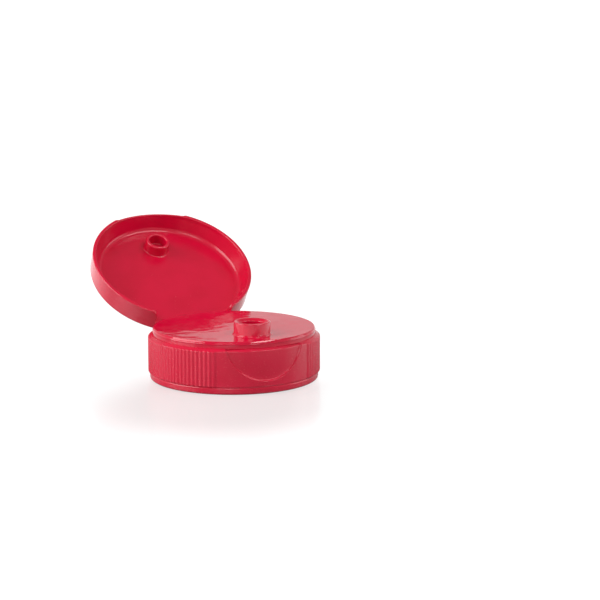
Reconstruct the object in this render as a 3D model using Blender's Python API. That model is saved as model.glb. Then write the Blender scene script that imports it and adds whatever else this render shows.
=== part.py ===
"""Flip-top screw closure for a 38-400 bottle neck, standing with its lid swung open.

Metres, +Z up. The origin is the centre of the liner's sealing face, the cap's axis is the Z
axis, the thumb scoop and the spout are towards -Y and the hinge is at +Y. The sizes below give
heights above the skirt's foot; one parent lowers the whole cap to the origin. Angles round the
cap are measured from the front (-Y) towards +X.
"""
import math

import bmesh
import bpy

# Skirt and shoulder
SKIRT_RADIUS = 0.0210
SKIRT_WALL = 0.0018
PARTING_HEIGHT = 0.0110
SHOULDER_FILLET = 0.0005
FOOT_BAND_HEIGHT = 0.0014
FOOT_BAND_INSET = 0.0006
FOOT_STEP_RISE = 0.00035
FOOT_EDGE_CHAMFER = 0.00025
MOUTH_CHAMFER_WIDTH = 0.00035
MOUTH_CHAMFER_HEIGHT = 0.0006

# Grip ribs, which stand out of the skirt's wall and stop at its smooth front
RIBS_PER_TURN = 120
RIB_HEIGHT = 0.00028
RIB_CREST_SHARE = 0.44
RIB_ROOT_SHARE = 0.76
RIB_TOP_MARGIN = 0.00105
RIB_TOP_SLOPE = 0.00040
SMOOTH_FRONT_HALF_ANGLE = 36.0

# Deck, the closed top of the body inside the lid
SHOULDER_WIDTH = 0.0015
DECK_RISE = 0.00165
DECK_THICKNESS = 0.0013
DECK_EDGE_FILLET = 0.00035
SNAP_BEAD_RISE = 0.00095
SNAP_BEAD_PROUD = 0.00012
SNAP_BEAD_HEIGHT = 0.00036

# Lid
LID_INSET = 0.00005
LID_HEIGHT = 0.0057
LID_SEAT_GAP = 0.00025
LID_WALL_CLEARANCE = 0.00035
LID_OUTER_DRAFT = 0.0002
LID_INNER_DRAFT = 0.0005
LID_PANEL_THICKNESS = 0.0010
LID_EDGE_FILLET = 0.0007
LID_CORNER_FILLET = 0.0008
RIM_CHAMFER = 0.00014

# Spout and the plug that closes it
SPOUT_EDGE_MARGIN = 0.0039
SPOUT_WALL = 0.001225
SPOUT_BORE_RADIUS = 0.003175
SPOUT_HEAD_GAP = 0.0003
SPOUT_COLLAR_WIDTH = 0.0002
SPOUT_COLLAR_HEIGHT = 0.0003
SPOUT_LEAD_IN = 0.0006
PLUG_CLEARANCE = 0.00027
PLUG_WALL = 0.0008
PLUG_LENGTH = 0.0030
PLUG_NOSE_CHAMFER = 0.0002

# Thumb scoop, half in the skirt and half in the lid
SCOOP_HALF_WIDTH = 0.0105
SCOOP_FOOT_MARGIN = 0.0030
SCOOP_DEPTH = 0.00045
LID_SCOOP_RISE = 0.0031
LID_SCOOP_DEPTH = 0.00035
RIM_ARCH_RISE = 0.00065

# Screw thread and the ribs that hold the liner
THREAD_PITCH = 0.004233
THREAD_HEIGHT = 0.0010
THREAD_WIDTH = 0.0023
THREAD_MOUTH_MARGIN = 0.00175
THREAD_LINER_MARGIN = 0.00063
LINER_RIB_COUNT = 3
LINER_RIB_SPAN = 92.0
LINER_RIB_PROUD = 0.0007
LINER_RIB_HEIGHT = 0.0006

# Liner
LINER_THICKNESS = 0.0009
LINER_SEAT_STEP = 0.00075
LINER_SEAT_GAP = 0.0003
LINER_EDGE_CLEARANCE = 0.00025
LINER_RIM_ROLL = 0.00015

# Living hinge
HINGE_AXIS_OUTSTAND = 0.0011
HINGE_AXIS_DROP = 0.0004
HINGE_HALF_WIDTH = 0.0092
HINGE_FOLD_CLEARANCE = 0.00015
FILM_THICKNESS = 0.0003
FILM_LENGTH = 0.0012
FILM_SPLIT_GAP = 0.0009
FILM_FOLD_CLEARANCE = 0.00006
LEAF_THICKNESS = 0.00065
SHELF_DEPTH = 0.0011
SHELF_BRACKET_DROP = 0.0024
NOTCH_HEIGHT = 0.0032
NOTCH_SIDE_CLEARANCE = 0.0004
OPEN_ANGLE = 148.0

# Heights and radii that follow from the sizes above
SMOOTH_WALL_RADIUS = SKIRT_RADIUS - RIB_HEIGHT
THREAD_ROOT_RADIUS = SKIRT_RADIUS - SKIRT_WALL
LINER_SEAT_RADIUS = THREAD_ROOT_RADIUS - LINER_SEAT_STEP
DECK_RADIUS = SKIRT_RADIUS - SHOULDER_WIDTH
LID_RADIUS = SKIRT_RADIUS - LID_INSET
SPOUT_RADIUS = SPOUT_BORE_RADIUS + SPOUT_WALL
SPOUT_OFFSET = DECK_RADIUS - SPOUT_EDGE_MARGIN - SPOUT_RADIUS
SCOOP_DROP = PARTING_HEIGHT - SCOOP_FOOT_MARGIN
DECK_TOP = PARTING_HEIGHT + DECK_RISE
DECK_UNDERSIDE = DECK_TOP - DECK_THICKNESS
LID_RIM = PARTING_HEIGHT + LID_SEAT_GAP
LID_TOP = LID_RIM + LID_HEIGHT
LID_PANEL_UNDERSIDE = LID_TOP - LID_PANEL_THICKNESS
LID_INNER_RADIUS = DECK_RADIUS + LID_WALL_CLEARANCE
SPOUT_TOP = LID_PANEL_UNDERSIDE - SPOUT_HEAD_GAP
PLUG_RADIUS = SPOUT_BORE_RADIUS - PLUG_CLEARANCE
LINER_TOP = DECK_UNDERSIDE - LINER_SEAT_GAP
LINER_BOTTOM = LINER_TOP - LINER_THICKNESS
LINER_RADIUS = LINER_SEAT_RADIUS - LINER_EDGE_CLEARANCE
LINER_RIB_CREST_RADIUS = LINER_SEAT_RADIUS - LINER_RIB_PROUD
LINER_RIB_TOP = LINER_BOTTOM - LINER_SEAT_GAP
LINER_RIB_BOTTOM = LINER_RIB_TOP - LINER_RIB_HEIGHT
THREAD_START_HEIGHT = THREAD_MOUTH_MARGIN + THREAD_WIDTH / 2
THREAD_END_HEIGHT = LINER_RIB_BOTTOM - THREAD_LINER_MARGIN - THREAD_WIDTH / 2
THREAD_TURNS = (THREAD_END_HEIGHT - THREAD_START_HEIGHT) / THREAD_PITCH
HINGE_AXIS_Y = SKIRT_RADIUS + HINGE_AXIS_OUTSTAND
HINGE_AXIS_Z = PARTING_HEIGHT - HINGE_AXIS_DROP
HINGE_FACE_Y = HINGE_AXIS_Y - HINGE_FOLD_CLEARANCE
FILM_OUTER_Y = HINGE_AXIS_Y - FILM_FOLD_CLEARANCE
FILM_INNER_Y = FILM_OUTER_Y - FILM_THICKNESS
SHELF_TOP = HINGE_AXIS_Z - FILM_LENGTH / 2
LEAF_FOOT = HINGE_AXIS_Z + FILM_LENGTH / 2
NOTCH_TOP = LID_RIM + NOTCH_HEIGHT

# Fineness of the curved surfaces
RIBS_PER_SECTOR = 2
FRONT_SECTORS = 12
LID_COLUMNS = 72
TUBE_COLUMNS = 28


def clear_scene():
    for item in list(bpy.data.objects):
        bpy.data.objects.remove(item, do_unlink=True)


def add_frame():
    """The parent of every piece, which puts the liner's sealing face at z = 0."""
    frame = bpy.data.objects.new("cap_frame", None)
    frame.location = (0.0, 0.0, -LINER_BOTTOM)
    bpy.context.scene.collection.objects.link(frame)
    return frame


def plastic(name, colour, roughness):
    material = bpy.data.materials.new(name)
    material.use_nodes = True
    shader = material.node_tree.nodes["Principled BSDF"]
    shader.inputs["Base Color"].default_value = (*colour, 1.0)
    shader.inputs["Roughness"].default_value = roughness
    return material


def place(angle, radius, height):
    """The point at an angle in degrees from the front, a radius and a height."""
    turn = math.radians(angle)
    return (radius * math.sin(turn), -radius * math.cos(turn), height)


def finish_object(name, work, origin=(0.0, 0.0, 0.0), smooth=True):
    """Turns an edit mesh into a linked object whose origin is the given point."""
    bmesh.ops.translate(work, verts=work.verts, vec=[-c for c in origin])
    bmesh.ops.recalc_face_normals(work, faces=work.faces)
    mesh = bpy.data.meshes.new(name)
    work.to_mesh(mesh)
    work.free()
    item = bpy.data.objects.new(name, mesh)
    item.location = origin
    item.parent = bpy.data.objects["cap_frame"]
    bpy.context.scene.collection.objects.link(item)
    if smooth:
        mesh.shade_smooth()
        mesh.set_sharp_from_angle(angle=math.radians(32))
    return item


def tool_body(name, work, origin=(0.0, 0.0, 0.0)):
    """A hidden body that is only joined to, or cut from, a moulding."""
    item = finish_object(name, work, origin)
    item.hide_render = True
    item.display_type = "WIRE"
    return item


def combine(target, tool, operation):
    step = target.modifiers.new(operation.lower() + "_" + tool.name, "BOOLEAN")
    step.object = tool
    step.operation = operation
    step.solver = "EXACT"


def revolve(profile, columns, centre=(0.0, 0.0), closed=False, lift=None):
    """Turns a profile of (radius, height) pairs about an upright line into a closed body.

    An open profile is shut with a flat face at each end; a closed one makes a ring. The
    lift gives a height to add for an angle and a row number.
    """
    work = bmesh.new()
    rows = []
    for number, (radius, height) in enumerate(profile):
        row = []
        for step in range(columns):
            angle = 360.0 * step / columns
            x, y, z = place(angle, radius, height)
            if lift is not None:
                z += lift(angle, number)
            row.append(work.verts.new((x + centre[0], y + centre[1], z)))
        rows.append(row)
    pairs = list(zip(rows, rows[1:]))
    if closed:
        pairs.append((rows[-1], rows[0]))
    for upper, lower in pairs:
        for step in range(columns):
            after = (step + 1) % columns
            work.faces.new((upper[step], upper[after], lower[after], lower[step]))
    if not closed:
        work.faces.new(rows[0])
        work.faces.new(rows[-1])
    return work


def loft(sections, ring=False):
    """Joins equal-length closed sections, one after another, into a closed body."""
    work = bmesh.new()
    rows = [[work.verts.new(point) for point in section] for section in sections]
    pairs = list(zip(rows, rows[1:]))
    if ring:
        pairs.append((rows[-1], rows[0]))
    for near, far in pairs:
        count = len(near)
        for step in range(count):
            after = (step + 1) % count
            work.faces.new((near[step], near[after], far[after], far[step]))
    if not ring:
        work.faces.new(rows[0])
        work.faces.new(rows[-1])
    return work


def arc_points(centre_radius, centre_height, size, start, end, steps):
    """Points of a rounded corner in the (radius, height) plane, angles in degrees."""
    points = []
    for step in range(steps + 1):
        turn = math.radians(start + (end - start) * step / steps)
        points.append((centre_radius + size * math.cos(turn), centre_height + size * math.sin(turn)))
    return points


# Skirt body: one ring of rows, coarse where it is plain and dense over the ribs


def skirt_sectors():
    """Lists the sectors round the skirt, each with its dense columns as (angle, is_crest).

    A sector starts on the middle of a rib's crest, or on the smooth wall at the front.
    """
    sectors = []
    span = 360.0 - 2.0 * SMOOTH_FRONT_HALF_ANGLE
    count = max(4, round(span / (360.0 / RIBS_PER_TURN) / RIBS_PER_SECTOR))
    width = span / count
    pitch = width / RIBS_PER_SECTOR
    crest = pitch * RIB_CREST_SHARE / 2
    root = pitch * RIB_ROOT_SHARE / 2
    front = 2.0 * SMOOTH_FRONT_HALF_ANGLE / FRONT_SECTORS
    first = -SMOOTH_FRONT_HALF_ANGLE
    sectors.append([(first, True), (first + crest, True), (first + root, False)])
    for number in range(1, FRONT_SECTORS):
        sectors.append([(first + number * front, False)])
    sectors[-1] += [(-first - root, False), (-first - crest, True)]
    for number in range(count):
        start = SMOOTH_FRONT_HALF_ANGLE + number * width
        columns = [(start, True)]
        for rib in range(RIBS_PER_SECTOR):
            here = start + rib * pitch
            columns.append((here + crest, True))
            columns.append((here + root, False))
            columns.append((here + pitch - root, False))
            columns.append((here + pitch - crest, True))
        sectors.append(columns)
    return sectors


def skirt_rows():
    """Rows of the section from the deck, down the outside, round the edge and up the inside.

    A coarse row is (radius, height); a dense row is (crest radius, root radius, height).
    """
    wall = SMOOTH_WALL_RADIUS
    band = SKIRT_RADIUS - FOOT_BAND_INSET
    flat = THREAD_ROOT_RADIUS + MOUTH_CHAMFER_WIDTH
    bead = PARTING_HEIGHT + SNAP_BEAD_RISE
    rib_top = PARTING_HEIGHT - RIB_TOP_MARGIN
    rib_foot = FOOT_BAND_HEIGHT + FOOT_STEP_RISE
    step = LINER_BOTTOM - LINER_SEAT_STEP * 0.7
    rows = []
    edge_radius = DECK_RADIUS - DECK_EDGE_FILLET
    rows += arc_points(edge_radius, DECK_TOP - DECK_EDGE_FILLET, DECK_EDGE_FILLET, 90, 0, 3)
    rows.append((DECK_RADIUS, bead + SNAP_BEAD_HEIGHT / 2))
    rows.append((DECK_RADIUS + SNAP_BEAD_PROUD, bead))
    rows.append((DECK_RADIUS, bead - SNAP_BEAD_HEIGHT / 2))
    rows.append((DECK_RADIUS, PARTING_HEIGHT))
    fillet_radius = wall - SHOULDER_FILLET
    rows += arc_points(fillet_radius, PARTING_HEIGHT - SHOULDER_FILLET, SHOULDER_FILLET, 90, 0, 3)
    rows.append((wall, wall, rib_top + RIB_TOP_SLOPE))
    rows.append((SKIRT_RADIUS, wall, rib_top))
    rows.append((SKIRT_RADIUS, wall, rib_foot))
    rows.append((band, FOOT_BAND_HEIGHT))
    rows.append((band, FOOT_EDGE_CHAMFER))
    rows.append((band - FOOT_EDGE_CHAMFER, 0.0))
    rows.append((flat, 0.0))
    rows.append((THREAD_ROOT_RADIUS, MOUTH_CHAMFER_HEIGHT))
    rows.append((THREAD_ROOT_RADIUS, step))
    rows.append((LINER_SEAT_RADIUS, LINER_BOTTOM))
    rows.append((LINER_SEAT_RADIUS, DECK_UNDERSIDE))
    return rows


def join_rows(work, upper, lower, sectors):
    """Fills the strip between two rows, each held as one list of points per sector."""
    count = len(sectors)
    for number in range(count):
        after = (number + 1) % count
        top = upper[number] + [upper[after][0]]
        bottom = lower[number] + [lower[after][0]]
        if len(top) == len(bottom):
            for step in range(len(top) - 1):
                work.faces.new((top[step], top[step + 1], bottom[step + 1], bottom[step]))
            continue
        many, few = (top, bottom) if len(top) > len(bottom) else (bottom, top)
        middle = (len(many) - 1) // 2
        for step in range(len(many) - 1):
            end = few[0] if step < middle else few[1]
            work.faces.new((many[step], many[step + 1], end))
        work.faces.new((few[0], many[middle], few[1]))


def skirt_shell():
    """Cup-shaped moulding: deck, shoulder, fluted wall, foot band, mouth and liner seat."""
    work = bmesh.new()
    sectors = skirt_sectors()
    rows = []
    for row in skirt_rows():
        line = []
        for columns in sectors:
            if len(row) == 2:
                line.append([work.verts.new(place(columns[0][0], row[0], row[1]))])
            else:
                points = []
                for angle, is_crest in columns:
                    radius = row[0] if is_crest else row[1]
                    points.append(work.verts.new(place(angle, radius, row[2])))
                line.append(points)
        rows.append(line)
    for upper, lower in zip(rows, rows[1:]):
        join_rows(work, upper, lower, sectors)
    work.faces.new([points[0] for points in rows[0]])
    work.faces.new([points[0] for points in rows[-1]])
    twisted = [face for face in work.faces if len(face.verts) == 4]
    bmesh.ops.triangulate(work, faces=twisted)
    return work


def spout_tube():
    """Short round spout with a low collar at its foot, sunk a little into the deck."""
    collar = SPOUT_RADIUS + SPOUT_COLLAR_WIDTH
    lip = 0.0002
    profile = [
        (SPOUT_RADIUS - lip, SPOUT_TOP),
        (SPOUT_RADIUS, SPOUT_TOP - lip),
        (SPOUT_RADIUS, DECK_TOP + SPOUT_COLLAR_HEIGHT),
        (collar, DECK_TOP + SPOUT_COLLAR_HEIGHT - SPOUT_COLLAR_WIDTH / 2),
        (collar, DECK_TOP - DECK_THICKNESS / 2),
    ]
    return revolve(profile, TUBE_COLUMNS, (0.0, -SPOUT_OFFSET))


def spout_bore():
    """The pouring hole through spout and deck, flared at the lip to lead the plug in."""
    profile = [
        (SPOUT_BORE_RADIUS + 2 * SPOUT_LEAD_IN, SPOUT_TOP + SPOUT_LEAD_IN),
        (SPOUT_BORE_RADIUS, SPOUT_TOP - SPOUT_LEAD_IN),
        (SPOUT_BORE_RADIUS, DECK_UNDERSIDE - DECK_THICKNESS / 2),
    ]
    return revolve(profile, TUBE_COLUMNS, (0.0, -SPOUT_OFFSET))


def scoop_outline(offset, drop):
    """Distance from the parting plane to the scoop's arc at a distance round the cap."""
    radius = (SCOOP_HALF_WIDTH ** 2 + drop ** 2) / (2 * drop)
    return math.sqrt(max(radius ** 2 - offset ** 2, 0.0)) - (radius - drop)


def scoop_cutter(drop, depth, outer_radius, direction):
    """Shell piece with an arc-shaped outline that takes the thumb scoop out of a wall.

    The direction is -1 for the half below the parting plane and 1 for the half above it.
    """
    sections = []
    steps = 20
    beyond = 0.0008
    reach = SCOOP_HALF_WIDTH * 0.995
    inner = outer_radius - depth
    outer = outer_radius + 0.001
    for step in range(steps + 1):
        offset = -reach + 2 * reach * step / steps
        angle = math.degrees(offset / outer_radius)
        far = PARTING_HEIGHT + direction * scoop_outline(offset, drop)
        near = PARTING_HEIGHT - direction * beyond
        sections.append([
            place(angle, inner, near),
            place(angle, outer, near),
            place(angle, outer, far),
            place(angle, inner, far),
        ])
    return loft(sections)


def thread_ridge():
    """Single-start helical ridge with a rounded crest that runs out at both ends."""
    sections = []
    steps = round(THREAD_TURNS * 48)
    root = THREAD_ROOT_RADIUS + 0.0004
    for step in range(steps + 1):
        along = step / steps
        turn = along * THREAD_TURNS
        ease = min(1.0, along / 0.09, (1.0 - along) / 0.09)
        crest = THREAD_ROOT_RADIUS + 0.0001 - (THREAD_HEIGHT + 0.0001) * math.sin(ease * math.pi / 2)
        height = THREAD_START_HEIGHT + turn * THREAD_PITCH
        half = THREAD_WIDTH / 2
        angle = 40.0 + 360.0 * turn
        sections.append([
            place(angle, root, height - half),
            place(angle, crest + 0.00022, height - half * 0.42),
            place(angle, crest, height - half * 0.14),
            place(angle, crest, height + half * 0.14),
            place(angle, crest + 0.00022, height + half * 0.42),
            place(angle, root, height + half),
        ])
    return loft(sections)


def liner_rib(number):
    """Low curved rib under the liner's edge that keeps it from falling out."""
    sections = []
    steps = 16
    top = LINER_RIB_TOP
    bottom = LINER_RIB_BOTTOM
    start = number * 360.0 / LINER_RIB_COUNT + 14.0
    crest = LINER_RIB_CREST_RADIUS
    root = THREAD_ROOT_RADIUS + 0.0003
    for step in range(steps + 1):
        angle = start + LINER_RIB_SPAN * step / steps
        sections.append([
            place(angle, root, bottom),
            place(angle, crest + LINER_RIB_HEIGHT / 2, bottom),
            place(angle, crest, (top + bottom) / 2),
            place(angle, crest, top),
            place(angle, root, top),
        ])
    return loft(sections)


def hinge_columns():
    steps = 12
    return [-HINGE_HALF_WIDTH + 2 * HINGE_HALF_WIDTH * step / steps for step in range(steps + 1)]


def wall_depth(x, radius):
    """How far back a round wall of the given radius lies at a sideways distance."""
    return math.sqrt(radius ** 2 - x ** 2)


def hinge_shelf():
    """Bracket at the back of the skirt that carries the film of the living hinge."""
    sections = []
    foot = SHELF_TOP - SHELF_DEPTH - SHELF_BRACKET_DROP
    middle = (THREAD_ROOT_RADIUS + SKIRT_RADIUS) / 2
    film_end = HINGE_AXIS_Z - FILM_SPLIT_GAP / 2
    for x in hinge_columns():
        root = wall_depth(x, middle)
        skin = wall_depth(x, SMOOTH_WALL_RADIUS - RIB_HEIGHT / 2)
        sections.append([
            (x, root, SHELF_TOP),
            (x, root, foot),
            (x, skin, foot),
            (x, HINGE_FACE_Y, SHELF_TOP - SHELF_DEPTH),
            (x, HINGE_FACE_Y, SHELF_TOP - FILM_THICKNESS),
            (x, FILM_OUTER_Y, SHELF_TOP),
            (x, FILM_OUTER_Y, film_end),
            (x, FILM_INNER_Y, film_end),
            (x, FILM_INNER_Y, SHELF_TOP),
        ])
    return loft(sections)


def build_skirt(red):
    body = finish_object("skirt_body", skirt_shell())
    body.data.materials.append(red)
    combine(body, tool_body("tool_spout", spout_tube()), "UNION")
    combine(body, tool_body("tool_hinge_shelf", hinge_shelf()), "UNION")
    combine(body, tool_body("tool_thread", thread_ridge()), "UNION")
    for number in range(LINER_RIB_COUNT):
        combine(body, tool_body("tool_liner_rib_" + str(number + 1), liner_rib(number)), "UNION")
    scoop = scoop_cutter(SCOOP_DROP, SCOOP_DEPTH, SMOOTH_WALL_RADIUS, -1)
    combine(body, tool_body("cut_scoop_skirt", scoop), "DIFFERENCE")
    combine(body, tool_body("cut_spout_bore", spout_bore()), "DIFFERENCE")
    return body


# Lid: drawn closed, then swung back about the hinge axis


def rim_arch(angle):
    """Rise of the lid's rim over the thumb scoop."""
    half = math.degrees(SCOOP_HALF_WIDTH / SKIRT_RADIUS)
    offset = abs((angle + 180.0) % 360.0 - 180.0)
    if offset >= half:
        return 0.0
    return RIM_ARCH_RISE * (1.0 - (offset / half) ** 2)


def lid_shell():
    """Shallow round lid with a rounded top edge, a drafted wall and an arched front rim."""
    inner = LID_INNER_RADIUS - LID_INNER_DRAFT
    outer = LID_RADIUS - LID_OUTER_DRAFT
    fillet = LID_EDGE_FILLET
    corner = LID_CORNER_FILLET
    profile = []
    profile += arc_points(outer - fillet, LID_TOP - fillet, fillet, 90, 0, 3)
    profile.append((LID_RADIUS, LID_RIM + RIM_CHAMFER))
    profile.append((LID_RADIUS - RIM_CHAMFER, LID_RIM))
    profile.append((LID_INNER_RADIUS + RIM_CHAMFER, LID_RIM))
    profile.append((LID_INNER_RADIUS, LID_RIM + RIM_CHAMFER))
    for radius, height in arc_points(inner - corner, LID_PANEL_UNDERSIDE - corner, corner, 0, 90, 3):
        profile.append((radius, height))
    rim_rows = (4, 5, 6, 7)

    def lift(angle, row):
        return rim_arch(angle) if row in rim_rows else 0.0

    return revolve(profile, LID_COLUMNS, lift=lift)


def plug_ring():
    """Hollow plug under the lid panel that closes the spout."""
    foot = LID_PANEL_UNDERSIDE - PLUG_LENGTH
    root = LID_PANEL_UNDERSIDE + LID_PANEL_THICKNESS / 2
    inner = PLUG_RADIUS - PLUG_WALL
    profile = [
        (PLUG_RADIUS, root),
        (PLUG_RADIUS, foot + PLUG_NOSE_CHAMFER),
        (PLUG_RADIUS - PLUG_NOSE_CHAMFER, foot),
        (inner, foot),
        (inner, root),
    ]
    return revolve(profile, TUBE_COLUMNS, (0.0, -SPOUT_OFFSET), closed=True)


def notch_cutter():
    """Window in the back of the lid wall that clears the hinge."""
    half = HINGE_HALF_WIDTH + NOTCH_SIDE_CLEARANCE
    front = wall_depth(half, LID_INNER_RADIUS - 2 * LID_INNER_DRAFT) - 0.001
    back = LID_RADIUS + 0.002
    low = LID_RIM - 0.001
    sections = []
    for x in (-half, half):
        sections.append([(x, front, low), (x, back, low), (x, back, NOTCH_TOP), (x, front, NOTCH_TOP)])
    return loft(sections)


def hinge_leaf():
    """Flap that hangs from the lid wall over the notch down to the hinge film."""
    sections = []
    middle = (LID_INNER_RADIUS + LID_RADIUS) / 2
    film_end = HINGE_AXIS_Z + FILM_SPLIT_GAP / 2
    leaf_in = HINGE_FACE_Y - LEAF_THICKNESS
    crown = LID_TOP - LID_EDGE_FILLET
    for x in hinge_columns():
        root = wall_depth(x, middle - LID_INNER_DRAFT / 2)
        skin = wall_depth(x, LID_RADIUS - LID_OUTER_DRAFT - 0.0002)
        sections.append([
            (x, FILM_INNER_Y, film_end),
            (x, FILM_OUTER_Y, film_end),
            (x, FILM_OUTER_Y, LEAF_FOOT),
            (x, HINGE_FACE_Y, LEAF_FOOT + FILM_THICKNESS),
            (x, HINGE_FACE_Y, NOTCH_TOP + LEAF_THICKNESS),
            (x, skin, crown),
            (x, root, crown),
            (x, root, NOTCH_TOP),
            (x, leaf_in, NOTCH_TOP),
            (x, leaf_in, LEAF_FOOT + FILM_THICKNESS),
            (x, FILM_INNER_Y, LEAF_FOOT),
        ])
    return loft(sections)


def build_lid(red):
    axis = (0.0, HINGE_AXIS_Y, HINGE_AXIS_Z)
    lid = finish_object("flip_lid", lid_shell(), axis)
    lid.data.materials.append(red)
    tools = [
        (tool_body("cut_hinge_notch", notch_cutter(), axis), "DIFFERENCE"),
        (tool_body("tool_hinge_leaf", hinge_leaf(), axis), "UNION"),
        (tool_body("tool_plug", plug_ring(), axis), "UNION"),
        (tool_body("cut_scoop_lid", lid_scoop(), axis), "DIFFERENCE"),
    ]
    swing = -math.radians(OPEN_ANGLE)
    lid.rotation_euler = (swing, 0.0, 0.0)
    for tool, operation in tools:
        tool.rotation_euler = (swing, 0.0, 0.0)
        combine(lid, tool, operation)
    return lid


def lid_scoop():
    return scoop_cutter(LID_SCOOP_RISE, LID_SCOOP_DEPTH, LID_RADIUS, 1)


# Liner: a disc under the deck, whose punched and slightly rolled rim lies over its ribs


def build_liner(white):
    profile = [
        (LINER_RADIUS, LINER_TOP),
        (LINER_RADIUS, LINER_BOTTOM + LINER_RIM_ROLL),
        (LINER_RIB_CREST_RADIUS - LINER_EDGE_CLEARANCE, LINER_BOTTOM),
    ]
    liner = finish_object("liner_disc", revolve(profile, 60))
    liner.data.materials.append(white)
    return liner


clear_scene()
add_frame()
RED = plastic("polypropylene_red", (0.58, 0.015, 0.035), 0.28)
RED_LID = plastic("polypropylene_red_lid", (0.58, 0.015, 0.035), 0.34)
WHITE = plastic("liner_foam_white", (0.82, 0.81, 0.79), 0.75)
build_skirt(RED)
build_lid(RED_LID)
build_liner(WHITE)
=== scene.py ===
import bpy
import numpy as np
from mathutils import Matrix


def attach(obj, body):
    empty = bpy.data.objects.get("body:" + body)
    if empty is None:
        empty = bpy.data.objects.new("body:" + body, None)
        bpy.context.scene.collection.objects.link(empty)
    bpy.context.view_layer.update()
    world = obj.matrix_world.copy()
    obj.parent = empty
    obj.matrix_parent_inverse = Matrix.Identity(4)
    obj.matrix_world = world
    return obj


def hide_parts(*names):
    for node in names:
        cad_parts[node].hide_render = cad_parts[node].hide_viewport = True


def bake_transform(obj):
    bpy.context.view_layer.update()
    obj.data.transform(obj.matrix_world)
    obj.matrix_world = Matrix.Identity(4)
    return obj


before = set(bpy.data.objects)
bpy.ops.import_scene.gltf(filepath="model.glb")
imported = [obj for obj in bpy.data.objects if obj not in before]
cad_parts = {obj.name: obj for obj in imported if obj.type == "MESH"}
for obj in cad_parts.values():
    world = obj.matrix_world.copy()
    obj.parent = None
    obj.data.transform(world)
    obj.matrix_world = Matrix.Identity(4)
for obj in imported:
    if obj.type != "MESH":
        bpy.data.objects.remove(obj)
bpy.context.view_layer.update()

# The skirt. It is the threaded ring of the cap's one red polypropylene moulding. Upright ribs
# stand out of its wall for the fingers, all round but for a smooth front, where an arc-shaped
# scoop lets a thumb under the lid. Inside are the thread and the ribs that hold the liner.

# Sizes are in millimetres and angles in degrees. Heights are over the foot, and angles run from
# the front towards the right.
FOOT_LEVEL = -10.15
WALL_RADIUS = 20.72
WALL_TOP = 10.16
WALL_FOOT = 2.04
PARTING = 11.0
SHOULDER_ROUNDING = 0.35
BAND_RADIUS = 20.55
BAND_ROUNDING = 0.60
RIB_PITCH = 3.0
RIB_HEIGHT = 0.28
RIB_VALLEY = 0.11
RIB_TOP = 10.64
RIB_FOOT = 1.72
RIB_COLUMNS = 8
SMOOTH_FRONT = 36.0
SCOOP_WIDTH = 10.5
SCOOP_DROP = 8.0
SCOOP_DEPTH = 0.41
SCOOP_RETURN = 0.28
SCOOP_STEP = 0.40
THREAD_ROOT = 19.2
THREAD_HEIGHT = 1.0
THREAD_HALF_WIDTH = 1.15
THREAD_PITCH = 4.233
THREAD_TURNS = 1.0796
THREAD_START = 2.9
THREAD_START_ANGLE = 40.0
THREAD_TAIL = 0.09
LINER_RIB_CREST = 17.75
LINER_RIB_SPAN = 92.0
LINER_RIB_END = 1.8
LINER_SEAT = 18.45


def ease(low, high, value):
    """0 below low, 1 above high, and 3t^2 - 2t^3 in between."""
    t = np.clip((value - low) / (high - low), 0.0, 1.0)
    return t * t * (3.0 - 2.0 * t)


def around(angle, radius, height):
    """Points at angles from the front towards the right, at distances from the cap's axis and
    heights over its foot: x = r sin a, y = -r cos a."""
    turn = np.radians(angle)
    parts = np.broadcast_arrays(radius * np.sin(turn), -radius * np.cos(turn), height)
    return np.stack(parts, axis=-1)


def corner(radius, height, size, start, end, count):
    """A rounded corner as (radius, height) pairs: a circle about a point, between two angles."""
    turn = np.radians(np.linspace(start, end, count))
    return np.stack([radius + size * np.cos(turn), height + size * np.sin(turn)], axis=1)


def strip(near, far):
    """Faces between two rings of vertex numbers. Equal rings are joined by quads. A ring with a
    few times the points of the other is joined by fans, each about the closest point there."""
    if len(near) < len(far):
        quads, fans = strip(far, near)
        return quads, fans[:, ::-1]
    after = np.roll(near, -1)
    beyond = np.roll(far, -1)
    if len(near) == len(far):
        return np.stack([near, after, beyond, far], axis=1), np.zeros((0, 3), int)
    times = len(near) // len(far)
    half = times // 2
    closest = far[(np.arange(len(near)) + half) // times % len(far)]
    fans = [np.stack([near, after, closest], axis=1),
            np.stack([near[half::times], beyond, far], axis=1)]
    return np.zeros((0, 4), int), np.concatenate(fans)


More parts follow.
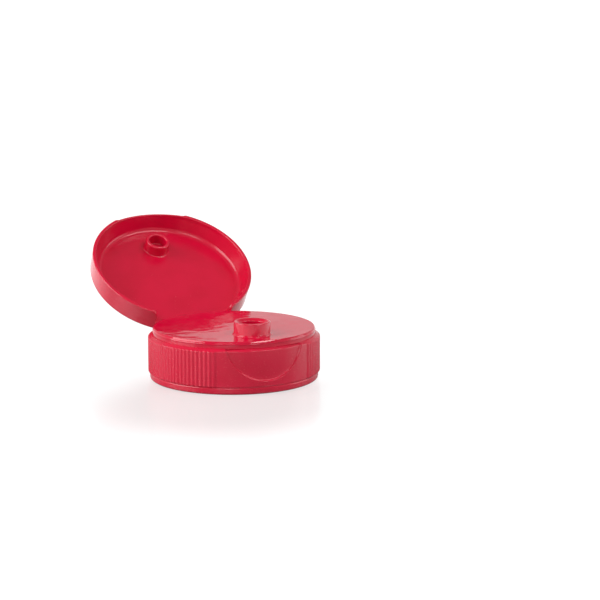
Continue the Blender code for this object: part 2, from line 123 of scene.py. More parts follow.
def moulding(name, rings, body, node, poles=None, flat=False, sharp=55.0):
    """One closed mesh through rings of points in millimetres. The last ring meets the first, or
    each end closes on its pole, or flat ends are one face each. Faces are turned outwards by the
    sign of the volume inside."""
    starts = np.cumsum([0] + [len(ring) for ring in rings])
    numbers = [np.arange(a, b) for a, b in zip(starts, starts[1:])]
    first, last = numbers[0], numbers[-1]
    pairs = list(zip(numbers, numbers[1:]))
    if poles is None and not flat:
        pairs.append((last, first))
    joined = [strip(near, far) for near, far in pairs]
    quads = np.concatenate([both[0] for both in joined])
    fans = np.concatenate([both[1] for both in joined])
    ends = [first[::-1], last] if flat else []
    points = np.concatenate(rings)
    if poles is not None:
        top = np.full(len(first), len(points))
        bottom = np.full(len(last), len(points) + 1)
        caps = [np.stack([top, np.roll(first, -1), first], axis=1),
                np.stack([last, np.roll(last, -1), bottom], axis=1)]
        fans = np.concatenate([fans] + caps)
        points = np.concatenate([points, np.asarray(poles, float)])
    corners = points[np.concatenate([quads[:, :3], quads[:, [0, 2, 3]], fans])]
    volume = np.einsum("ij,ij->", corners[:, 0], np.cross(corners[:, 1], corners[:, 2]))
    if volume < 0:
        quads, fans, ends = quads[:, ::-1], fans[:, ::-1], [end[::-1] for end in ends]
    faces = quads.tolist() + fans.tolist() + [end.tolist() for end in ends]
    mesh = bpy.data.meshes.new(name)
    mesh.from_pydata(((points + [0.0, 0.0, FOOT_LEVEL]) * 0.001).tolist(), [], faces)
    mesh.shade_smooth()
    mesh.set_sharp_from_angle(angle=float(np.radians(sharp)))
    piece = bpy.data.objects.new(name, mesh)
    bpy.context.scene.collection.objects.link(piece)
    if node:
        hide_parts(node)
    if body:
        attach(piece, body)
    return piece


def rib_rise(angle, height):
    """Ridges of one pitch with the course of a cosine. In between they meet a little above the
    smooth wall. They slope away into the shoulder at the top and end over the foot's groove."""
    past = np.abs(angle) - SMOOTH_FRONT
    half = RIB_PITCH / 2
    beside = np.where(past > 0, np.abs((past + half) % RIB_PITCH - half), -past)
    across = 0.5 + 0.5 * np.cos(np.clip(beside / half, 0.0, 1.0) * np.pi)
    rise = RIB_HEIGHT * across + np.where(past > 0, RIB_VALLEY * (1.0 - across), 0.0)
    below_top = 1.0 - ease(RIB_TOP - 0.40, RIB_TOP, height)
    return rise * below_top * ease(RIB_FOOT, RIB_FOOT + 0.30, height)


def scoop_arc(width, drop):
    """The radius of a circle that cuts the parting line at a width to each side and reaches a
    drop away from it, and the distance of its centre from that line."""
    radius = (width ** 2 + drop ** 2) / (2.0 * drop)
    return radius, radius - drop


def scoop_sink(angle, height):
    """Depth of the thumb scoop: a step inside the arc on the unrolled wall, and then a slope that
    comes a part of the way out again over a few millimetres."""
    radius, away = scoop_arc(SCOOP_WIDTH, SCOOP_DROP)
    inside = radius - np.hypot(np.radians(angle) * WALL_RADIUS, height - PARTING - away)
    return SCOOP_DEPTH * ease(0.0, SCOOP_STEP, inside) - SCOOP_RETURN * ease(0.3, 6.0, inside)


def thread_rise(angle, height):
    """A helical ridge with a rounded crest: its middle climbs one pitch a turn, and its height
    falls as a quarter sine at both ends."""
    turn = ((angle - THREAD_START_ANGLE) / 360.0) % 1.0
    raised = np.zeros(np.broadcast(turn, height).shape)
    for lap in (turn, turn + 1.0):
        beside = np.abs(height - THREAD_START - lap * THREAD_PITCH) / THREAD_HALF_WIDTH
        to_end = np.minimum(lap, THREAD_TURNS - lap) / (THREAD_TAIL * THREAD_TURNS)
        tail = np.sin(np.clip(to_end, 0.0, 1.0) * np.pi / 2)
        raised = np.maximum(raised, (1.0 - ease(0.28, 1.0, beside)) * tail)
    return THREAD_HEIGHT * raised


def liner_rib(angle, height):
    """Three ribs with a flat top and a sloping underside, cut off at a slant: 1 on a rib and 0
    beside it."""
    along = (angle - 14.0 - 2.0 * (height - 9.55)) % 120.0
    before_end = 1.0 - ease(LINER_RIB_SPAN - LINER_RIB_END, LINER_RIB_SPAN, along)
    upright = ease(9.16, 9.52, height) * (1.0 - ease(9.82, 9.87, height))
    return ease(0.0, LINER_RIB_END, along) * before_end * upright


# Columns crowd towards the ends of the scoop, as even steps along its arc do. The inside has
# every fourth column, so their number is cut down to a multiple of four.
arc_radius, arc_away = scoop_arc(SCOOP_WIDTH, SCOOP_DROP)
reach = float(np.arcsin(SCOOP_WIDTH / arc_radius))
over_scoop = np.degrees(arc_radius * np.sin(np.linspace(-reach, reach, 125)) / WALL_RADIUS)
beside_scoop = np.linspace(over_scoop[-1], SMOOTH_FRONT, 10)[1:]
pitches = round((360.0 - 2.0 * SMOOTH_FRONT) / RIB_PITCH)
over_ribs = SMOOTH_FRONT + np.arange(pitches * RIB_COLUMNS) * RIB_PITCH / RIB_COLUMNS
turns = np.concatenate([-beside_scoop[::-1], over_scoop, beside_scoop[:-1], over_ribs])
turns = (turns[:len(turns) // 4 * 4] + 180.0) % 360.0 - 180.0
inner_turns = turns[::4]

# Rows of the wall follow the arc's step where it passes, so that its edge is crisp, and lie level
# under the rib ends elsewhere.
drawn = np.sqrt(np.clip(arc_radius ** 2 - (np.radians(turns) * WALL_RADIUS) ** 2, 0.0, None))
arc_height = np.where(drawn > 0.0, PARTING + arc_away - drawn, np.inf)
spread = SCOOP_STEP * arc_radius / np.clip(drawn, 2.7, None)
step_top = np.minimum(arc_height + spread, 10.12)
step_foot = np.minimum(arc_height - spread, 9.60)


def rows(upper, lower, count, closed=False):
    """Even steps down from one line to another, with the lower line itself only when closed."""
    part = np.linspace(0.0, 1.0, count, endpoint=closed)[:, None]
    return upper + (lower - upper) * part


def level(pairs):
    """Rings at given (radius, height) pairs, as two arrays with a row for each ring."""
    pairs = np.asarray(pairs)
    full = np.ones(len(turns))
    return pairs[:, :1] * full, pairs[:, 1:] * full


# The ledge under the lid with the rounded shoulder, the wall, and then the groove and the band
# over the foot.
ledge = level(np.concatenate([
    [(19.0, 11.4), (19.25, PARTING), (19.46, PARTING), (19.90, PARTING), (20.00, 10.995)],
    [(20.08, 10.97), (20.14, 10.93), (20.37, 10.737)],
    corner(WALL_RADIUS - SHOULDER_ROUNDING, 10.28, SHOULDER_ROUNDING, 50, 0, 8),
]))
middle = np.concatenate([
    rows(WALL_TOP, step_top, 10),
    rows(step_top, step_foot, 13),
    rows(step_foot, WALL_FOOT, 26, closed=True),
])
foot = level(np.concatenate([
    [(20.71, 1.97), (20.68, 1.87), (20.61, 1.78), (20.54, 1.70), (20.52, 1.63), (20.54, 1.56)],
    [(20.58, 1.49), (20.61, 1.40), (20.61, 1.28), (BAND_RADIUS, 0.90)],
    corner(BAND_RADIUS - BAND_ROUNDING, BAND_ROUNDING, BAND_ROUNDING, 0, -90, 8),
    [(19.75, 0.0)],
]))
radius = np.concatenate([ledge[0], np.full(middle.shape, WALL_RADIUS), foot[0]])
height = np.concatenate([ledge[1], middle, foot[1]])
outer = (radius > 20.0) & (height > 1.4)
wall = radius + np.where(outer, rib_rise(turns, height) - scoop_sink(turns, height), 0.0)
outside = around(turns, wall, height)

# The bore: a bevel at the mouth, the thread's ground, the liner's ribs and the seat over them.
bore = np.concatenate([
    [(19.60, 0.0), (19.55, 0.0), (19.52, 0.02), (19.23, 0.55)],
    [(THREAD_ROOT, z) for z in np.linspace(0.64, 9.10, 62)],
    [(THREAD_ROOT, z) for z in (9.18, 9.26, 9.34, 9.44, 9.54)],
    [(19.08, 9.70), (18.95, 9.81), (18.91, 9.84), (18.87, 9.87), (18.5, 10.1)],
    [(LINER_SEAT, 10.2), (LINER_SEAT, 11.5), (18.7, 11.5)],
])
radius, height = bore[:, :1], bore[:, 1:]
threaded = (height > 0.6) & (height < 9.1)
narrow = radius - np.where(threaded, thread_rise(inner_turns, height), 0.0)
ribbed = np.where(height > 9.1, liner_rib(inner_turns, height), 0.0)
inside = around(inner_turns, narrow + ribbed * (LINER_RIB_CREST - narrow), height)
skirt = moulding("cap_skirt", list(outside) + list(inside), "cap_body", "skirt_body")


class Amount:
    """A number that changes over a surface. Arithmetic on it adds the Math nodes."""

    def __init__(self, finish, socket):
        self.finish = finish
        self.socket = socket

    def math(self, operation, *others, swap=False):
        """One Math node on this number and others, in this order or swapped."""
        terms = (self,) + others
        if swap:
            terms = terms[::-1]
        return self.finish.node("ShaderNodeMath", {"operation": operation}, dict(enumerate(terms)))

    def __add__(self, other):
        return self.math("ADD", other)

    __radd__ = __add__

    def __sub__(self, other):
        return self.math("SUBTRACT", other)

    def __rsub__(self, other):
        return self.math("SUBTRACT", other, swap=True)

    def __mul__(self, other):
        return self.math("MULTIPLY", other)

    __rmul__ = __mul__

    def between(self, low, high):
        """0 at low and 1 at high, with a smooth course in between."""
        return self.finish.node(
            "ShaderNodeMapRange", {"interpolation_type": "SMOOTHSTEP"},
            {"Value": self, "From Min": low, "From Max": high},
        )


class Finish:
    """A finish under construction: a node tree, and the nodes that are added to it."""

    def __init__(self, tree):
        self.tree = tree

    def node(self, kind, settings, sockets, output=0):
        """A new node of a kind: its settings first, then a value or a link for each socket, and
        one of its outputs as the result."""
        made = self.tree.nodes.new(kind)
        for setting, value in settings.items():
            setattr(made, setting, value)
        for socket, value in sockets.items():
            if isinstance(value, Amount):
                self.tree.links.new(value.socket, made.inputs[socket])
            else:
                made.inputs[socket].default_value = value
        return Amount(self, made.outputs[output])

    def place(self, scale=(1.0, 1.0, 1.0)):
        """Object coordinates in metres, stretched by a scale."""
        spot = self.node("ShaderNodeTexCoord", {}, {}, output="Object")
        return self.node("ShaderNodeMapping", {}, {"Vector": spot, "Scale": scale})

    def away_from(self, centre):
        """The distance from a point, in metres."""
        ends = {0: self.place(), 1: centre}
        return self.node("ShaderNodeVectorMath", {"operation": "DISTANCE"}, ends, output="Value")

    def ray(self, kind):
        """1 where a kind of ray arrives, such as the camera's own, and 0 for all others."""
        return self.node("ShaderNodeLightPath", {}, {}, output="Is " + kind + " Ray")

    def noise(self, place, scale, detail=2.0, roughness=0.5):
        """Fractal noise about 0.5, with a number of cells to the metre."""
        return self.node("ShaderNodeTexNoise", {}, {
            "Vector": place, "Scale": scale, "Detail": detail, "Roughness": roughness,
        })

    def blend(self, factor, first, second):
        """A colour between two others; a Mix node on colours."""
        colours = {0: factor, 6: first, 7: second}
        return self.node("ShaderNodeMix", {"data_type": "RGBA"}, colours, output=2)

    def bump(self, height):
        """The normal of a surface with a relief of that height in metres."""
        relief = {"Height": height, "Strength": 1.0, "Distance": 1.0}
        return self.node("ShaderNodeBump", {}, relief)


def material(name, **constants):
    """A new material: its finish, and its shader with constants set on the sockets."""
    made = bpy.data.materials.new(name)
    made.use_nodes = True
    shader = made.node_tree.nodes["Principled BSDF"]
    for socket, value in constants.items():
        shader.inputs[socket.replace("_", " ")].default_value = value
    return made, Finish(made.node_tree), shader


def feed(shader, **links):
    """Links that vary over the surface, each into the shader's socket of that name."""
    for socket, value in links.items():
        value.finish.tree.links.new(value.socket, shader.inputs[socket.replace("_", " ")])


RED = (0.62, 0.0026, 0.036, 1.0)
DEEP_RED = (0.58, 0.0020, 0.031, 1.0)


def polypropylene(name, roughness, wave, crown=0.0):
    """Red polypropylene: the colour drifts a little, slow patches and fine rubbed marks vary the
    gloss, and broad and fine waves, the first of a given height in metres, tilt the surface. A
    crown is the height in metres by which a surface falls away towards the front."""
    made, red, shader = material(name, IOR=1.49)
    spot = red.place()
    patches = red.noise(spot, 140.0)
    rubbed = red.noise(red.place((1.0, 0.35, 1.6)), 2600.0, 3.0, 0.6).between(0.55, 0.75)
    specks = red.noise(spot, 5200.0, 1.0).between(0.68, 0.78)
    relief = red.noise(spot, 210.0, 1.0) * wave + red.noise(spot, 900.0) * (wave * 0.07)
    relief = relief + specks * 0.000002
    if crown:
        forward = red.node("ShaderNodeSeparateXYZ", {}, {"Vector": spot}, output="Y")
        relief = relief + forward.between(-0.024, 0.020) * crown
        relief = relief + red.noise(red.place((0.3, 1.0, 0.2)), 620.0) * (wave * 0.20)
    feed(
        shader,
        Base_Color=red.blend(patches.between(0.35, 0.7), RED, DEEP_RED),
        Roughness=roughness + 0.04 * patches + 0.06 * rubbed,
        Normal=red.bump(relief),
    )
    return made


satin_red = polypropylene("red_polypropylene", 0.22, 0.000004)
skirt.data.materials.append(satin_red)


# The deck and the spout, the closed top of the same moulding. The deck is a polished disc with a
# low snap bead round its wall, and the spout is a short tube on a collar, bored right through.

SPOUT_AT = 11.2
SPOUT_RADIUS = 4.40
SPOUT_ROUNDING = 0.22
SPOUT_TOP = 15.85
BORE = 3.175
DECK_TOP = 12.65
DECK_UNDERSIDE = 11.35
DECK_RADIUS = 19.8
DECK_FOOT = 10.7
DECK_WALL_INSIDE = 18.75
BEAD_LEVEL = 11.95


def off_centre(profile, shift, count=200):
    """Rings at (radius, height) pairs whose centre lies a shift, or one for each ring, towards
    the front: circles about (0, -shift)."""
    angle = np.arange(count) * 360.0 / count
    profile = np.asarray(profile, float)
    rings = around(angle, profile[:, :1], profile[:, 1:])
    rings[..., 1] -= np.broadcast_to(shift, len(rings))[:, None]
    return list(rings)


def deck_rings(start, end, height, count):
    """Rings that grow from a circle round the spout to one round the cap: centre and radius go
    evenly from one to the other, so that no two of them cross."""
    part = np.linspace(0.0, 1.0, count)
    profile = np.column_stack([start + (end - start) * part, np.full(count, height)])
    return off_centre(profile, SPOUT_AT * (1.0 - part))


spout = np.concatenate([
    [(BORE, DECK_UNDERSIDE + 0.1), (BORE, 15.1), (3.19, 15.22), (3.25, 15.30)],
    [(3.66, 15.71), (3.73, 15.78), (3.82, 15.83), (3.90, SPOUT_TOP), (4.12, SPOUT_TOP)],
    corner(SPOUT_RADIUS - SPOUT_ROUNDING, SPOUT_TOP - SPOUT_ROUNDING, SPOUT_ROUNDING, 90, 0, 6),
    [(SPOUT_RADIUS, 13.10), (4.42, 13.00), (4.48, 12.96), (4.55, 12.94), (4.59, 12.90)],
    [(4.61, 12.82), (4.62, 12.73), (4.65, 12.68), (4.72, 12.655)],
])
bevel = [(19.52, 12.648), (19.55, 12.635), (19.575, 12.60), (19.665, 12.47), (19.76, 12.335),
         (19.785, 12.29), (19.795, 12.24)]
bead = [(DECK_RADIUS + out, BEAD_LEVEL + over) for out, over in (
    (0.0, 0.21), (0.02, 0.14), (0.08, 0.07), (0.11, 0.0), (0.08, -0.07), (0.02, -0.14),
    (0.0, -0.21),
)]
edge = np.concatenate([bevel, bead, [
    (DECK_RADIUS, PARTING + 0.03), (DECK_RADIUS, DECK_FOOT),
    (DECK_WALL_INSIDE, DECK_FOOT), (DECK_WALL_INSIDE, DECK_UNDERSIDE),
]])
deck = moulding(
    "cap_deck",
    off_centre(spout, SPOUT_AT)
    + deck_rings(4.85, 19.48, DECK_TOP, 16)
    + off_centre(edge, 0.0)
    + deck_rings(BORE + 0.02, 18.4, DECK_UNDERSIDE, 8)[::-1],
    "cap_body", "skirt_body",
)
polished_red = polypropylene("red_polypropylene_polished", 0.04, 0.00011, crown=0.00114)
deck.data.materials.append(polished_red)


# The hinge shelf, a bracket at the back of the skirt. It is moulded with the cap and carries one
# half of the thin film that the lid folds on.

AXIS_Y = 22.1
AXIS_Z = 10.6
HINGE_HALF = 9.2
HINGE_FACE = 21.95
HINGE_EDGE = 0.12
FILM_Y = 21.89
LIP_HALF = 0.15


def extrusion(name, section, body, node, move=None):
    """A bar across the cap: a closed section in the upright plane, given for each sideways place
    by a function, with flat ends. A move, such as the lid's swing, is applied to its points."""
    rings = []
    for place in np.linspace(-1.0, 1.0, 27) * HINGE_HALF:
        outline = np.asarray(section(place), float)
        rings.append(np.column_stack([np.full(len(outline), place), outline]))
    if move:
        rings = [move(ring) for ring in rings]
    return moulding(name, rings, body, node, flat=True, sharp=35.0)


def rounded(outline, size):
    """A polygon with each corner cut twice, as three points on a quadratic curve."""
    outline = np.asarray(outline, float)
    before = np.roll(outline, 1, axis=0) - outline
    after = np.roll(outline, -1, axis=0) - outline
    shorter = np.minimum(np.hypot(*before.T), np.hypot(*after.T))
    reach = np.minimum(size, shorter * 0.45)[:, None]
    into = outline + before / np.hypot(*before.T)[:, None] * reach
    out_of = outline + after / np.hypot(*after.T)[:, None] * reach
    return np.stack([into, (into + 2 * outline + out_of) / 4, out_of], axis=1).reshape(-1, 2)


def shelf_section(x):
    """The shelf's outline at a sideways place; its inner side follows the skirt's round wall."""
    root = np.sqrt((WALL_RADIUS - 0.62) ** 2 - x ** 2)
    skin = np.sqrt((WALL_RADIUS - 0.14) ** 2 - x ** 2)
    lip_out, lip_in = FILM_Y + LIP_HALF, FILM_Y - LIP_HALF
    return rounded([
        (root, 10.0), (root, 6.5), (skin, 6.5), (HINGE_FACE, 8.9), (HINGE_FACE, 9.7),
        (lip_out, 10.0), (lip_out, 10.15), (lip_in, 10.15), (lip_in, 10.0),
    ], HINGE_EDGE)


shelf = extrusion("hinge_shelf", shelf_section, "cap_body", "skirt_body")
shelf.data.materials.append(satin_red)


# The lid, the second half of the moulding, swung right back. It is a shallow cup with a drafted
# wall, a rounded top edge, a rim that arches over the thumb scoop and a notch for the hinge.

# Heights are those of the closed lid, which is then swung to where it stands open.
OPEN_ANGLE = 148.0
LID_RADIUS = 20.95
LID_TAPER = 0.2
LID_TOP = 16.95
LID_EDGE = 0.7
LID_RIM = 11.03
LID_INSIDE = 19.98
RIM_ROUNDING = 0.40
RIM_ROUNDING_INSIDE = 0.29
RIM_ARCH = 0.65
UPRIGHT_INSIDE = 11.9
PANEL = 15.95
PANEL_DRAFT = 1.35
PANEL_FILLET = 1.5
FILLET_MIDDLE = 17.55
FILLET_START = 14.9
LID_SCOOP_DROP = 3.1
LID_SCOOP_DEPTH = 0.35
NOTCH_HALF_ANGLE = 29.2
NOTCH_CORNER = 1.5
NOTCH_RISE = 3.0


def swing(points):
    """Turns points from the closed lid to the open one about the hinge's line."""
    turn = np.radians(-OPEN_ANGLE)
    y, z = points[..., 1] - AXIS_Y, points[..., 2] - AXIS_Z
    turned = [points[..., 0], AXIS_Y + np.cos(turn) * y - np.sin(turn) * z,
              AXIS_Z + np.sin(turn) * y + np.cos(turn) * z]
    return np.stack(turned, axis=-1)


def rim_height(angle):
    """The rim's height: a parabola over the scoop, and at the hinge a quarter circle that turns
    into a step up to the notch."""
    half = np.degrees(SCOOP_WIDTH / (WALL_RADIUS + RIB_HEIGHT))
    arch = RIM_ARCH * np.clip(1.0 - (angle / half) ** 2, 0.0, None)
    beside = np.radians(180.0 - np.abs(angle) - NOTCH_HALF_ANGLE) * LID_RADIUS
    short = np.clip(NOTCH_CORNER - beside, 0.0, NOTCH_CORNER)
    turned = NOTCH_CORNER - np.sqrt(NOTCH_CORNER ** 2 - short ** 2)
    return LID_RIM + arch + np.where(beside < 0.0, NOTCH_RISE, turned)


def lid_scoop(angle, height):
    """Depth of the lid's half of the scoop: a step inside a flatter arc."""
    radius, away = scoop_arc(SCOOP_WIDTH, LID_SCOOP_DROP)
    inside = radius - np.hypot(np.radians(angle) * LID_RADIUS, height - PARTING + away)
    return LID_SCOOP_DEPTH * ease(0.0, SCOOP_STEP, inside)


def lid_inside(height):
    """The radius inside the lid's wall: upright where it passes the deck, and drafted above."""
    above = np.clip(height - UPRIGHT_INSIDE, 0.0, None)
    return LID_INSIDE - PANEL_DRAFT * above / (PANEL - UPRIGHT_INSIDE)


# Columns crowd at the scoop and at the notch's corners.
by_notch = np.array([-0.4, -0.03, 0.03, 0.1, 0.25, 0.5, 0.8, 1.2, 1.7, 2.3, 3.0, 4.1])
notch_columns = 180.0 - NOTCH_HALF_ANGLE - by_notch
lid_turns = np.unique(np.round(np.concatenate([
    np.arange(-180.0, 180.0, 1.5),
    np.arange(-32.0, 32.01, 0.5),
    np.arange(154.0, 180.0, 1.0), -np.arange(154.0, 180.0, 1.0), notch_columns, -notch_columns,
]), 3))
rim = rim_height(lid_turns)
rim_scoop = lid_scoop(lid_turns, rim)
wall_end = LID_TOP - LID_EDGE
wall_start = rim + RIM_ROUNDING
wall_radius = LID_RADIUS - LID_TAPER
inner_start = rim + RIM_ROUNDING_INSIDE
inner_radius = lid_inside(inner_start) + RIM_ROUNDING_INSIDE

# From the middle of the top out to its edge, down the wall and round the rim, and then up inside
# and over the fillet to the middle of the panel.
lid_rings = [around(lid_turns, r, LID_TOP) for r in (4.0, 9.0, 14.0, 18.0, 19.9)]
top_edge = corner(wall_radius - LID_EDGE, wall_end, LID_EDGE, 90, 0, 9)
lid_rings += [around(lid_turns, r, z) for r, z in top_edge]
for part in np.linspace(0.03, 1.0, 36):
    z = wall_end + (wall_start - wall_end) * part
    r = wall_radius + LID_TAPER * (wall_end - z) / (wall_end - LID_RIM)
    lid_rings.append(around(lid_turns, r - lid_scoop(lid_turns, z), z))
outer_rim = corner(LID_RADIUS - RIM_ROUNDING, RIM_ROUNDING, RIM_ROUNDING, -12, -90, 8)
lid_rings += [around(lid_turns, r - rim_scoop, rim + z) for r, z in outer_rim]
inner_rim = corner(0.0, RIM_ROUNDING_INSIDE, RIM_ROUNDING_INSIDE, -90, -168, 7)
lid_rings += [around(lid_turns, inner_radius + r, rim + z) for r, z in inner_rim]
for part in np.linspace(0.0, 0.97, 14):
    z = inner_start + (FILLET_START - inner_start) * part
    lid_rings.append(around(lid_turns, lid_inside(z), z))
fillet = corner(FILLET_MIDDLE, PANEL - PANEL_FILLET, PANEL_FILLET, 18, 90, 13)
lid_rings += [around(lid_turns, r, z) for r, z in fillet]
lid_rings += [around(lid_turns, r, PANEL) for r in (17.2, 15.0, 11.0, 7.0, 3.5)]
lid = moulding(
    "lid_shell", [swing(ring) for ring in lid_rings], "lid", "flip_lid",
    [swing(np.array([0.0, 0.0, LID_TOP])), swing(np.array([0.0, 0.0, PANEL]))],
)
lid_red = polypropylene("red_polypropylene_satin", 0.20, 0.00003)
lid.data.materials.append(lid_red)


# The plug, a short tube under the lid that closes the spout. Its nose is rounded to find the
# bore, and a small fillet joins it to the panel.

PLUG_RADIUS = 3.14
PLUG_INSIDE = 2.22
PLUG_END = 12.95
PLUG_ROOT = 16.2

nose = (PLUG_RADIUS - PLUG_INSIDE) / 2
plug_profile = np.concatenate([
    [(3.50, PLUG_ROOT), (3.50, 15.93), (3.32, 15.88), (3.21, 15.76), (3.16, 15.55)],
    [(PLUG_RADIUS, 13.45)],
    corner(PLUG_RADIUS - nose, PLUG_END + nose, nose, 0, -180, 15),
    [(PLUG_INSIDE, 15.75), (2.16, 15.88), (2.02, 15.93), (2.02, PLUG_ROOT)],
])
plug_rings = [swing(ring) for ring in off_centre(plug_profile, SPOUT_AT, 96)]
plug = moulding("lid_plug", plug_rings, "lid", "flip_lid")
plug.data.materials.append(lid_red)


# The hinge leaf and the film. The leaf hangs from the lid's wall over the notch, and the film is
# a thin web of the same plastic that the real cap bends between leaf and shelf; here it is shaped
# once, as it lies with the lid open, and does not move with the lid.

LEAF_TOP = 16.25
LEAF_INSIDE = 21.3
FILM_HALF_THICKNESS = 0.165


def leaf_section(x):
    """The leaf's outline on the closed lid; its upper end follows the lid's round wall."""
    root = np.sqrt((LID_RADIUS - 0.80) ** 2 - x ** 2)
    skin = np.sqrt((LID_RADIUS - 0.40) ** 2 - x ** 2)
    lip_out, lip_in = FILM_Y + LIP_HALF, FILM_Y - LIP_HALF
    return rounded([
        (lip_in, 11.05), (lip_out, 11.05), (lip_out, 11.2), (HINGE_FACE, 11.5),
        (HINGE_FACE, 15.1), (skin, LEAF_TOP), (root, LEAF_TOP), (root, 14.45),
        (LEAF_INSIDE, 14.45), (LEAF_INSIDE, 11.5), (lip_in, 11.2),
    ], HINGE_EDGE)


leaf = extrusion("hinge_leaf", leaf_section, "lid", "flip_lid", move=swing)
leaf.data.materials.append(satin_red)


def film_section(x):
    """The film in the open cap, the same at every sideways place: an even web about a curve that
    leaves the shelf upwards, turns over the hinge's line and enters the leaf. The curve is a
    cubic with those end directions."""
    t = np.linspace(0.0, 1.0, 17)[:, None]
    end = swing(np.array([0.0, FILM_Y, 11.16]))[1:]
    way = swing(np.array([0.0, FILM_Y, 10.30]))[1:] - end
    a, b = np.array([FILM_Y, 10.06]), np.array([FILM_Y, 10.86])
    c = end + way * 0.85
    line = (1 - t) ** 3 * a + 3 * (1 - t) ** 2 * t * b + 3 * (1 - t) * t ** 2 * c + t ** 3 * end
    along = np.gradient(line, axis=0)
    across = np.column_stack([-along[:, 1], along[:, 0]]) / np.hypot(*along.T)[:, None]
    side = across * FILM_HALF_THICKNESS
    return np.concatenate([line + side, (line - side)[::-1]])


film = extrusion("hinge_film", film_section, None, None)
film.data.materials.append(satin_red)
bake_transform(film)


# The liner, a disc punched from white foamed polyethylene with a smooth skin. It lies loose
# under the deck, held up by the ribs in the skirt, and seals on the rim of the bottle.

LINER_TOP = 11.05
LINER_FACE = 10.15
LINER_ROUNDING = 0.15

liner_turns = np.arange(0.0, 360.0, 2.5)
liner_profile = np.concatenate([
    [(6.0, LINER_TOP), (12.0, LINER_TOP), (17.6, LINER_TOP)],
    corner(18.05, LINER_TOP - LINER_ROUNDING, LINER_ROUNDING, 90, 0, 5),
    corner(18.05, 10.45, LINER_ROUNDING, 0, -70, 5),
    [(17.6, 10.17), (17.45, 10.152), (17.3, LINER_FACE), (12.0, LINER_FACE), (6.0, LINER_FACE)],
])
liner = moulding(
    "liner", [around(liner_turns, r, z) for r, z in liner_profile], "cap_body", "liner_disc",
    [(0.0, 0.0, LINER_TOP), (0.0, 0.0, LINER_FACE)],
)
white_foam, foam, shader = material("white_foam", Roughness=0.62, IOR=1.45)
spot = foam.place()
smooth_cells = {"Vector": spot, "Scale": 2400.0}
cells = foam.node("ShaderNodeTexVoronoi", {"feature": "SMOOTH_F1"}, smooth_cells)
drift = foam.noise(spot, 120.0)
feed(
    shader,
    Base_Color=foam.blend(drift, (0.86, 0.84, 0.80, 1.0), (0.80, 0.78, 0.75, 1.0)),
    Normal=foam.bump(cells * 0.00004 + drift * 0.0001),
)
liner.data.materials.append(white_foam)


# The studio: a white floor with a faint sheen and a painted shadow by the cap's foot, a pale room
# that is darker behind the camera, a wide softbox at the left, a small one and a strip in front,
# and a card low at the right.

# Places and sizes in the studio are in metres.
FLOOR_HALF = 3.0
FLOOR_LEVEL = FOOT_LEVEL * 0.001 - 0.00002
MIRRORED_SHADOW_MIDDLE = (-0.008, -0.012, -0.01)
SHADED_MIDDLE = (-0.016, -0.024, -0.01)
WHITE = (1.0, 1.0, 1.0, 1.0)

ground = bpy.data.meshes.new("studio_floor")
square = ((-1.0, -1.0), (1.0, -1.0), (1.0, 1.0), (-1.0, 1.0))
ground.from_pydata(
    [(x * FLOOR_HALF, y * FLOOR_HALF, FLOOR_LEVEL) for x, y in square], [], [(0, 1, 2, 3)],
)
floor = bpy.data.objects.new("studio_floor", ground)
bpy.context.scene.collection.objects.link(floor)

# Seen directly the floor glows nearly white, with a painted shadow that leaves it a little less
# bright in front of the cap. Mirrored in the plastic, it carries a painted shadow that is dark by
# the foot, and it is white further out.
stand_white, stand, shader = material(
    "studio_white", Base_Color=(0.30, 0.30, 0.30, 1.0), Roughness=0.9, IOR=1.0,
)
seen = stand.ray("Camera") + stand.ray("Transmission")
mirrored = stand.ray("Glossy")
# Painted shadow: the glow seen directly is lowered within a few centimetres of a point in front of
# the cap.
shade = stand.away_from(SHADED_MIDDLE)
strength = seen * (0.53 + 0.24 * shade.between(0.016, 0.046) + 0.23 * shade.between(0.10, 1.0))
# Painted shadow in reflections: the glow seen in the plastic is low by the foot and rises further
# out.
past_mirrored_shadow = stand.away_from(MIRRORED_SHADOW_MIDDLE).between(0.02, 0.14)
strength = strength + mirrored * (0.15 + 1.00 * past_mirrored_shadow)
glow = stand.node("ShaderNodeEmission", {}, {"Strength": strength})
sheen = stand.node("ShaderNodeBsdfGlossy", {}, {"Roughness": 0.20})
layered = stand.node("ShaderNodeMixShader", {}, {0: 0.25, 2: sheen})
stand.tree.links.new(shader.outputs[0], layered.socket.node.inputs[1])
surface = stand.node("ShaderNodeAddShader", {}, {0: layered, 1: glow})
stand.tree.links.new(surface.socket, stand.tree.nodes["Material Output"].inputs["Surface"])
ground.materials.append(stand_white)

# The room is white when it is looked at, and greyer overhead and behind the camera as a light.
world = bpy.data.worlds.new("white_room")
bpy.context.scene.world = world
world.use_nodes = True
room = Finish(world.node_tree)
way = room.node("ShaderNodeTexCoord", {}, {}, output="Generated")
rise = room.node("ShaderNodeSeparateXYZ", {}, {"Vector": way}, output="Z")
behind_camera = room.node(
    "ShaderNodeVectorMath", {"operation": "DOT_PRODUCT"}, {0: way, 1: (-0.41, -0.91, 0.0)},
    output="Value",
)
low_down = 1.0 - rise.between(0.1, 0.8)
ahead = 1.0 - behind_camera.between(0.0, 0.8)
room_level = 0.28 + 0.54 * low_down * ahead
looked_at = (room.ray("Camera") + room.ray("Transmission")).between(0.0, 1.0)
brightness = looked_at + (1.0 - looked_at) * room_level
background = world.node_tree.nodes["Background"]
background.inputs["Color"].default_value = WHITE
world.node_tree.links.new(brightness.socket, background.inputs["Strength"])


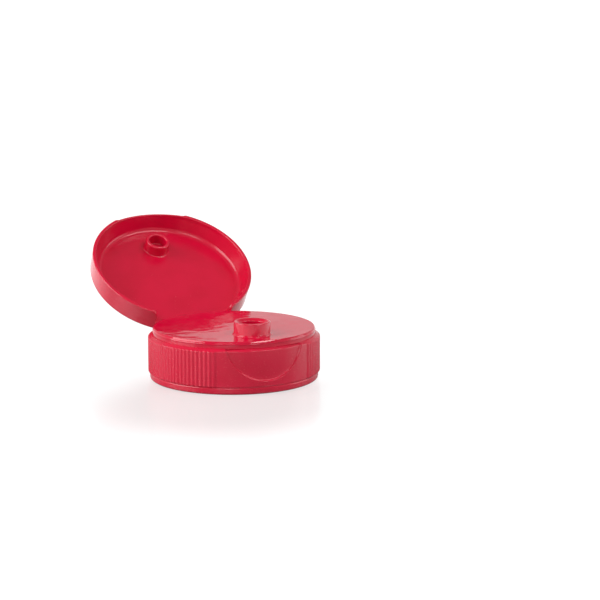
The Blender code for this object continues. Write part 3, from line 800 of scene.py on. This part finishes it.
def aimed(item, right, up, back, spot):
    """Places a lamp or camera: its sideways, upward and backward directions, and its spot."""
    turn = np.eye(4)
    turn[:3, 0], turn[:3, 1], turn[:3, 2], turn[:3, 3] = right, up, back, spot
    item.matrix_world = turn.T
    bpy.context.scene.collection.objects.link(item)


def softbox(name, spot, width, height, power):
    """An upright area lamp at a spot, aimed at the cap: its back points away from the origin."""
    light = bpy.data.lights.new(name, "AREA")
    light.shape = "RECTANGLE"
    light.size, light.size_y = width, height
    light.energy = power
    back = np.array(spot) / np.linalg.norm(spot)
    right = np.cross([0.0, 0.0, 1.0], back)
    right = right / np.linalg.norm(right)
    aimed(bpy.data.objects.new(name, light), right, np.cross(back, right), back, spot)


softbox("softbox_left", (-0.72, 0.12, 0.42), 0.66, 0.66, 6.4)
softbox("softbox_fill", (-0.30, -0.46, 0.29), 0.28, 0.20, 0.75)
softbox("strip_front", (0.24, -0.34, 0.50), 0.46, 0.11, 1.5)
softbox("card_right", (0.30, -0.07, 0.08), 0.18, 0.16, 0.16)


# The camera: a long lens half a metre away, a little over the cap and to the left of its front.
# The cap stands to the left of the middle of the frame and below it.

# Degrees and millimetres; the lens is given by its focal length in pixels of the frame.
AZIMUTH = -24.40
ELEVATION = 10.62
CAMERA_DISTANCE = 543.6
AIM_RIGHT = 16.10
AIM_UP = 18.72
FOCAL_PIXELS = 2218.3
FRAME_PIXELS = 600.0

aside, above = np.radians(AZIMUTH), np.radians(ELEVATION)
outward = np.cos(above)
back = np.array([np.sin(aside) * outward, -np.cos(aside) * outward, np.sin(above)])
right = np.array([np.cos(aside), np.sin(aside), 0.0])
up = np.cross(back, right)
lens = bpy.data.cameras.new("camera")
lens.sensor_width = 36.0
lens.lens = FOCAL_PIXELS / FRAME_PIXELS * lens.sensor_width
lens.clip_start, lens.clip_end = 0.01, 20.0
camera = bpy.data.objects.new("camera", lens)
spot = right * AIM_RIGHT + up * AIM_UP + back * CAMERA_DISTANCE + [0.0, 0.0, FOOT_LEVEL]
aimed(camera, right, up, back, spot * 0.001)
bpy.context.scene.camera = camera
bpy.context.scene.view_settings.view_transform = "Standard"
